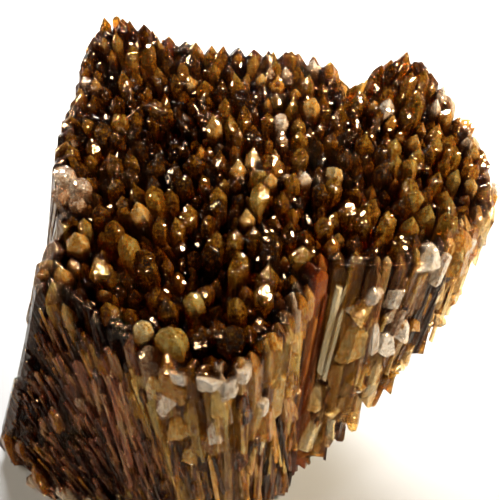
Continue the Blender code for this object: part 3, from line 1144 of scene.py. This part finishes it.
def fan_coordinates(nodes, links):
    """Object coordinates, and coordinates that run along the columns of the fan."""
    place = nodes.new("ShaderNodeTexCoord")
    from_root = nodes.new("ShaderNodeVectorMath")
    from_root.operation = "SUBTRACT"
    links.new(place.outputs["Object"], from_root.inputs[0])
    from_root.inputs[1].default_value = FAN_ROOT * MM
    parts = nodes.new("ShaderNodeSeparateXYZ")
    links.new(from_root.outputs["Vector"], parts.inputs[0])
    fan = nodes.new("ShaderNodeCombineXYZ")
    for axis in ("X", "Y"):
        share = nodes.new("ShaderNodeMath")
        share.operation = "DIVIDE"
        links.new(parts.outputs[axis], share.inputs[0])
        links.new(parts.outputs["Z"], share.inputs[1])
        links.new(share.outputs[0], fan.inputs[axis])
    links.new(parts.outputs["Z"], fan.inputs["Z"])
    return place.outputs["Object"], fan.outputs["Vector"]


def noise(nodes, links, where, scale, detail=2.0, stretch=None, distortion=0.0):
    """Noise at a place, optionally stretched along an axis."""
    if stretch:
        mapping = nodes.new("ShaderNodeMapping")
        mapping.inputs["Scale"].default_value = stretch
        links.new(where, mapping.inputs["Vector"])
        where = mapping.outputs["Vector"]
    texture = nodes.new("ShaderNodeTexNoise")
    texture.inputs["Scale"].default_value = scale
    texture.inputs["Detail"].default_value = detail
    texture.inputs["Distortion"].default_value = distortion
    links.new(where, texture.inputs["Vector"])
    return texture.outputs["Fac"]


def ramp(nodes, links, fac, stops):
    """A colour ramp with the stops given as place and colour."""
    node = nodes.new("ShaderNodeValToRGB")
    elements = node.color_ramp.elements
    while len(elements) > 1:
        elements.remove(elements[-1])
    elements[0].position, elements[0].color = stops[0][0], (*stops[0][1], 1)
    for at, colour in stops[1:]:
        elements.new(at).color = (*colour, 1)
    links.new(fac, node.inputs["Fac"])
    return node.outputs["Color"]


def math_node(nodes, links, operation, *values):
    """A math node. Its inputs are sockets or numbers."""
    node = nodes.new("ShaderNodeMath")
    node.operation = operation
    for socket, value in zip(node.inputs, values):
        if isinstance(value, (int, float)):
            socket.default_value = value
        else:
            links.new(value, socket)
    return node.outputs[0]


def stored(nodes, name):
    """A value stored on the mesh."""
    node = nodes.new("ShaderNodeAttribute")
    node.attribute_name = name
    return node.outputs["Fac"]


def spread_to(nodes, links, value, low, high, to_low=0.0, to_high=1.0):
    """A value moved from one range to another, and held inside it."""
    node = nodes.new("ShaderNodeMapRange")
    for name, number in (("From Min", low), ("From Max", high), ("To Min", to_low), ("To Max", to_high)):
        node.inputs[name].default_value = number
    links.new(value, node.inputs["Value"])
    return node.outputs["Result"]


# %% Glittering cells
def glitter(nodes, links, where, scale):
    """A height that tilts each small cell of the surface its own way, like cleavage steps."""
    cells = nodes.new("ShaderNodeTexVoronoi")
    cells.inputs["Scale"].default_value = scale
    links.new(where, cells.inputs["Vector"])
    off_middle = nodes.new("ShaderNodeVectorMath")
    off_middle.operation = "SUBTRACT"
    links.new(where, off_middle.inputs[0])
    links.new(cells.outputs["Position"], off_middle.inputs[1])
    slope = nodes.new("ShaderNodeVectorMath")
    slope.operation = "SUBTRACT"
    links.new(cells.outputs["Color"], slope.inputs[0])
    slope.inputs[1].default_value = (0.5, 0.5, 0.5)
    height = nodes.new("ShaderNodeVectorMath")
    height.operation = "DOT_PRODUCT"
    links.new(off_middle.outputs["Vector"], height.inputs[0])
    links.new(slope.outputs["Vector"], height.inputs[1])
    return height.outputs["Value"]


# %% Colour and relief
# Scales of the pattern: in the fan for streaks and growth lines, and per metre for mottling and cells
STREAKS = (75.0, 75.0, 55.0)
FINE_STREAKS = (170.0, 170.0, 40.0)
GROWTH_LINES = (60.0, 60.0, 2400.0)
GROWTH_LINE_HEIGHT = 0.00008
MOTTLING = 1500.0
MOTTLING_SWIRL = 1.5
GLITTER_CELLS = 1300.0


def calcite_colour(nodes, links, place, streaks, tones, gaps, streaky, patchy):
    """The tone of a crystal, shifted by streaks and mottling, as a tint with painted shade where it lies
    deep.
    """
    mottling = noise(nodes, links, place, MOTTLING, 2.0, distortion=MOTTLING_SWIRL)
    tone = math_node(nodes, links, "MULTIPLY_ADD", streaks, streaky, stored(nodes, "tone"))
    tone = math_node(nodes, links, "MULTIPLY_ADD", mottling, patchy, tone)
    tone = math_node(nodes, links, "SUBTRACT", tone, 0.5 * (streaky + patchy))
    deepest, highest, painted_shades = gaps
    # Painted shade: the colour is multiplied darker where a point lies deep in a gap or groove
    stand_out = spread_to(nodes, links, stored(nodes, "rise"), deepest, highest)
    mix = nodes.new("ShaderNodeMix")
    mix.data_type = "RGBA"
    mix.blend_type = "MULTIPLY"
    mix.inputs["Factor"].default_value = 1.0
    links.new(ramp(nodes, links, tone, tones), mix.inputs[6])
    links.new(ramp(nodes, links, stand_out, painted_shades), mix.inputs[7])
    return mix.outputs[2]


def calcite_relief(nodes, links, place, fan, streaks, rib, tilt):
    """Growth lines, ribs that follow the streaks, and glittering cells, as one bump."""
    lines = noise(nodes, links, fan, 1.0, 2.0, GROWTH_LINES)
    relief = math_node(nodes, links, "MULTIPLY", lines, GROWTH_LINE_HEIGHT)
    relief = math_node(nodes, links, "MULTIPLY_ADD", streaks, rib, relief)
    cells = glitter(nodes, links, place, GLITTER_CELLS)
    relief = math_node(nodes, links, "MULTIPLY_ADD", cells, tilt, relief)
    bumps = nodes.new("ShaderNodeBump")
    bumps.inputs["Distance"].default_value = 1.0
    links.new(relief, bumps.inputs["Height"])
    return bumps.outputs["Normal"]


# %% The finish itself
# Lower than the index of real calcite, for the reason given above
FACE_IOR = 1.32
MIRROR_TINT = (1.0, 0.80, 0.56)
ROUGHNESS = (0.04, 0.20)
WORN_PATCHES = 420.0


def calcite(
    name, tones, gaps, clear, absorb, density,
    tilt=0.35, patchy=0.9, streaky=0.9, ribs=STREAKS, rib=0.0,
):
    """Calcite of one tint.

    tones are colours by tone, and gaps is the range of the stand-out with the painted shades that they are
    multiplied by, which paint shade into the gaps and grooves. clear is the share of light that goes in, and
    absorb and density use it up on its way. tilt is for the glitter, patchy for the mottling, streaky for the
    streaks, ribs is their scale and rib their height.
    """
    material = bpy.data.materials.new(name)
    material.use_nodes = True
    nodes, links = material.node_tree.nodes, material.node_tree.links
    shader = nodes["Principled BSDF"]
    place, fan = fan_coordinates(nodes, links)
    streaks = noise(nodes, links, fan, 1.0, 3.0, ribs)
    colour = calcite_colour(nodes, links, place, streaks, tones, gaps, streaky, patchy)
    links.new(colour, shader.inputs["Base Color"])
    worn = noise(nodes, links, place, WORN_PATCHES, 3.0)
    links.new(spread_to(nodes, links, worn, 0.40, 0.70, *ROUGHNESS), shader.inputs["Roughness"])
    normal = calcite_relief(nodes, links, place, fan, streaks, rib, tilt)
    links.new(normal, shader.inputs["Normal"])
    shader.inputs["IOR"].default_value = FACE_IOR
    shader.inputs["Specular Tint"].default_value = (*MIRROR_TINT, 1)
    shader.inputs["Transmission Weight"].default_value = clear
    depth = nodes.new("ShaderNodeVolumeAbsorption")
    depth.inputs["Color"].default_value = (*absorb, 1)
    depth.inputs["Density"].default_value = density
    links.new(depth.outputs["Volume"], nodes["Material Output"].inputs["Volume"])
    return material


# %% The tints
# Colours by tone, from the darkest streaks to the palest
AMBER_TONES = (
    (0.05, (0.02, 0.006, 0.001)),
    (0.30, (0.20, 0.06, 0.005)),
    (0.55, (0.66, 0.27, 0.02)),
    (0.80, (0.95, 0.58, 0.07)),
    (1.00, (1.0, 0.83, 0.30)),
)
HONEY_TONES = (
    (0.0, (0.25, 0.06, 0.005)),
    (0.25, (0.62, 0.24, 0.02)),
    (0.55, (0.88, 0.42, 0.06)),
    (0.8, (0.94, 0.60, 0.16)),
    (1.0, (0.97, 0.80, 0.42)),
)
FROST_TONES = (
    (0.0, (0.20, 0.09, 0.04)),
    (0.3, (0.50, 0.32, 0.20)),
    (0.6, (0.82, 0.68, 0.50)),
    (0.9, (0.97, 0.94, 0.90)),
)
SMOKY_TONES = (
    (0.1, (0.02, 0.006, 0.003)),
    (0.5, (0.16, 0.05, 0.02)),
    (0.75, (0.50, 0.20, 0.08)),
    (1.0, (0.90, 0.55, 0.20)),
)
GOLDEN_TONES = (
    (0.1, (0.28, 0.11, 0.015)),
    (0.45, (0.72, 0.32, 0.03)),
    (0.7, (0.95, 0.54, 0.08)),
    (1.0, (1.0, 0.78, 0.30)),
)
CREAM_TONES = (
    (0.1, (0.40, 0.18, 0.03)),
    (0.4, (0.84, 0.52, 0.16)),
    (0.7, (0.95, 0.74, 0.36)),
    (1.0, (0.98, 0.90, 0.66)),
)
RED_TONES = (
    (0.1, (0.10, 0.015, 0.004)),
    (0.45, (0.32, 0.06, 0.012)),
    (0.75, (0.60, 0.18, 0.03)),
    (1.0, (0.85, 0.42, 0.10)),
)
BLADE_TONES = (
    (0.1, (0.04, 0.012, 0.01)),
    (0.5, (0.30, 0.10, 0.07)),
    (0.8, (0.62, 0.26, 0.14)),
    (1.0, (0.90, 0.58, 0.30)),
)
# Stand-out in millimetres of the deepest and of the highest points, and the painted shade between them
# Painted shade: deep points between crystals and in wall grooves are coloured darker
CARPET_GAP_SHADE = (
    -5.0,
    3.0,
    ((0.0, (0.17, 0.06, 0.02)), (0.5, (0.47, 0.21, 0.085)), (0.8, (0.82, 0.63, 0.45)), (1.0, (1, 1, 1))),
)
WALL_GAP_SHADE = (
    -1.3,
    1.6,
    ((0.0, (0.02, 0.006, 0.002)), (0.45, (0.14, 0.06, 0.02)), (0.75, (0.85, 0.72, 0.58)), (1.0, (1, 1, 1))),
)

# %% One finish for each tint
# What is left of each colour of light after some way in, for deep, honey, golden, cream, pale and red calcite
DEEP = (0.80, 0.50, 0.18)
HONEY = (0.95, 0.62, 0.20)
GOLDEN = (0.90, 0.55, 0.12)
CREAM = (0.95, 0.80, 0.50)
PALE = (0.95, 0.85, 0.65)
RED = (0.85, 0.35, 0.12)
FINISHES = {
    "amber": calcite("deep_amber", AMBER_TONES, CARPET_GAP_SHADE, 0.966, DEEP, 200.0, tilt=0.3, patchy=2.2),
    "honey": calcite("honey", HONEY_TONES, WALL_GAP_SHADE, 0.94, HONEY, 90.0, patchy=3.0),
    "frost": calcite("frosted", FROST_TONES, WALL_GAP_SHADE, 0.91, PALE, 60.0, patchy=3.2),
    "dark": calcite(
        "smoky", SMOKY_TONES, WALL_GAP_SHADE, 0.95, DEEP, 300.0,
        streaky=3.0, ribs=FINE_STREAKS, rib=0.0010,
    ),
    "golden": calcite(
        "golden", GOLDEN_TONES, WALL_GAP_SHADE, 0.95, GOLDEN, 140.0,
        patchy=2.4, streaky=4.2, rib=0.0016,
    ),
    "cream": calcite(
        "cream", CREAM_TONES, WALL_GAP_SHADE, 0.90, CREAM, 80.0,
        patchy=2.0, streaky=2.2, rib=0.0008,
    ),
    "red": calcite("red_brown", RED_TONES, WALL_GAP_SHADE, 0.93, RED, 240.0, tilt=0.12),
    "fibre": calcite(
        "brown_blades", BLADE_TONES, WALL_GAP_SHADE, 0.95, DEEP, 300.0,
        tilt=0.2, streaky=2.6, ribs=FINE_STREAKS, rib=0.0006,
    ),
}
for tint, piece in pieces.items():
    piece.data.materials.clear()
    piece.data.materials.append(FINISHES[tint])
    print(piece.name, "is", FINISHES[tint].name)

# %% [markdown]
# ## Floor, camera and light
# The specimen rests on its flat spot on a plain floor, and the camera looks down on it at the angle that
# shows the carpet and the wall together. White paper would make a pale ground, but glassy crystals show
# mostly what they mirror, and each face would mirror the paper as a grey veil. So the floor is a dark satin
# that looks pale only towards the light behind the specimen, and further away it glows by itself. For the
# same reason the light is a few small soft boxes in a room that is pale at the horizon and dim above it.
# The ones at the sides and in front are warm, the ones behind and above are white.

# %% The floor
FLOOR_REACH = 3.0
FLOOR_SHADE = 0.06
FLOOR_ROUGHNESS = 0.6
# Metres from the middle where the glow starts and where it is full
GLOW_RING = (0.28, 0.80)
GLOW_STRENGTH = 0.75

floor_mesh = bpy.data.meshes.new("floor")
floor_corners = [(x * FLOOR_REACH, y * FLOOR_REACH, 0.0) for x, y in ((-1, -1), (1, -1), (1, 1), (-1, 1))]
floor_mesh.from_pydata(floor_corners, [], [(0, 1, 2, 3)])
floor = bpy.data.objects.new("floor", floor_mesh)
bpy.context.scene.collection.objects.link(floor)
satin = bpy.data.materials.new("satin")
satin.use_nodes = True
satin_nodes, satin_links = satin.node_tree.nodes, satin.node_tree.links
satin_shader = satin_nodes["Principled BSDF"]
satin_shader.inputs["Base Color"].default_value = (FLOOR_SHADE, FLOOR_SHADE, FLOOR_SHADE, 1)
satin_shader.inputs["Roughness"].default_value = FLOOR_ROUGHNESS
satin_shader.inputs["Emission Color"].default_value = (1, 1, 1, 1)
floor_place = satin_nodes.new("ShaderNodeTexCoord")
from_middle = satin_nodes.new("ShaderNodeVectorMath")
from_middle.operation = "LENGTH"
satin_links.new(floor_place.outputs["Object"], from_middle.inputs[0])
glow = spread_to(satin_nodes, satin_links, from_middle.outputs["Value"], *GLOW_RING, 0.0, GLOW_STRENGTH)
satin_links.new(glow, satin_shader.inputs["Emission Strength"])
floor.data.materials.append(satin)
print("the floor reaches", FLOOR_REACH, "m to each side")

# %% The camera
CAMERA_ELEVATION = math.radians(42)
CAMERA_DISTANCE = 0.300
LOOK_AT = Vector((0.014, -0.012, 0.066))
camera_data = bpy.data.cameras.new("camera")
camera_data.lens = 108
camera_data.sensor_width = 36
camera_data.clip_start = 0.01
camera = bpy.data.objects.new("camera", camera_data)
toward = Vector((0, math.cos(CAMERA_ELEVATION), -math.sin(CAMERA_ELEVATION)))
camera.location = LOOK_AT - toward * CAMERA_DISTANCE
camera.rotation_euler = (math.pi / 2 - CAMERA_ELEVATION, 0, 0)
bpy.context.scene.collection.objects.link(camera)
bpy.context.scene.camera = camera
print("the camera stands at", [round(v, 3) for v in camera.location])

# %% The lights
WARM = (1.0, 0.84, 0.62)
WHITE = (1.0, 1.0, 1.0)


def softbox(name, place, size, power, colour, aim, spread):
    """A flat light that faces what it is aimed at, with its beam as wide as the spread."""
    data = bpy.data.lights.new(name, "AREA")
    data.shape = "RECTANGLE"
    data.size, data.size_y = size
    data.energy = power
    data.color = colour
    data.spread = math.radians(spread)
    lamp = bpy.data.objects.new(name, data)
    lamp.location = place
    way = Vector(aim) - Vector(place)
    lamp.rotation_euler = way.to_track_quat("-Z", "Y").to_euler()
    bpy.context.scene.collection.objects.link(lamp)
    print("the", name, "light is", round(way.length, 2), "m from what it is aimed at")


softbox("key", (0.46, 0.00, 0.32), (0.09, 0.09), 2.8, WARM, aim=(0.04, 0.06, 0.05), spread=45)
softbox("back", (0.02, 0.46, 0.34), (0.36, 0.12), 5.0, WHITE, aim=(0.02, 0.16, 0.0), spread=70)
softbox("left", (-0.48, 0.04, 0.26), (0.08, 0.16), 1.2, WARM, aim=(-0.02, 0.04, 0.04), spread=60)
softbox("front", (0.06, -0.45, 0.15), (0.06, 0.06), 0.26, WARM, aim=(0.0, -0.03, 0.03), spread=35)
softbox("spark", (-0.20, -0.25, 0.60), (0.04, 0.04), 0.14, WHITE, aim=(0.0, 0.02, 0.06), spread=30)

# %% The room
ROOM_COLOUR = (1.0, 0.95, 0.88)
STRENGTH_AT_HORIZON = 0.7
STRENGTH_ABOVE = 0.04
# The height of a direction, on a ball of radius 1, from which the room is dim
DIM_FROM = 0.20

room = bpy.data.worlds.new("studio")
bpy.context.scene.world = room
room.use_nodes = True
room_nodes, room_links = room.node_tree.nodes, room.node_tree.links
backdrop = room_nodes["Background"]
backdrop.inputs["Color"].default_value = (*ROOM_COLOUR, 1)
looking = room_nodes.new("ShaderNodeTexCoord")
upward = room_nodes.new("ShaderNodeSeparateXYZ")
room_links.new(looking.outputs["Generated"], upward.inputs[0])
strength = spread_to(
    room_nodes, room_links, upward.outputs["Z"], 0.0, DIM_FROM, STRENGTH_AT_HORIZON, STRENGTH_ABOVE
)
room_links.new(strength, backdrop.inputs["Strength"])
bpy.context.scene.view_settings.view_transform = "Standard"
print("the room is", STRENGTH_AT_HORIZON, "bright at the horizon and", STRENGTH_ABOVE, "above")
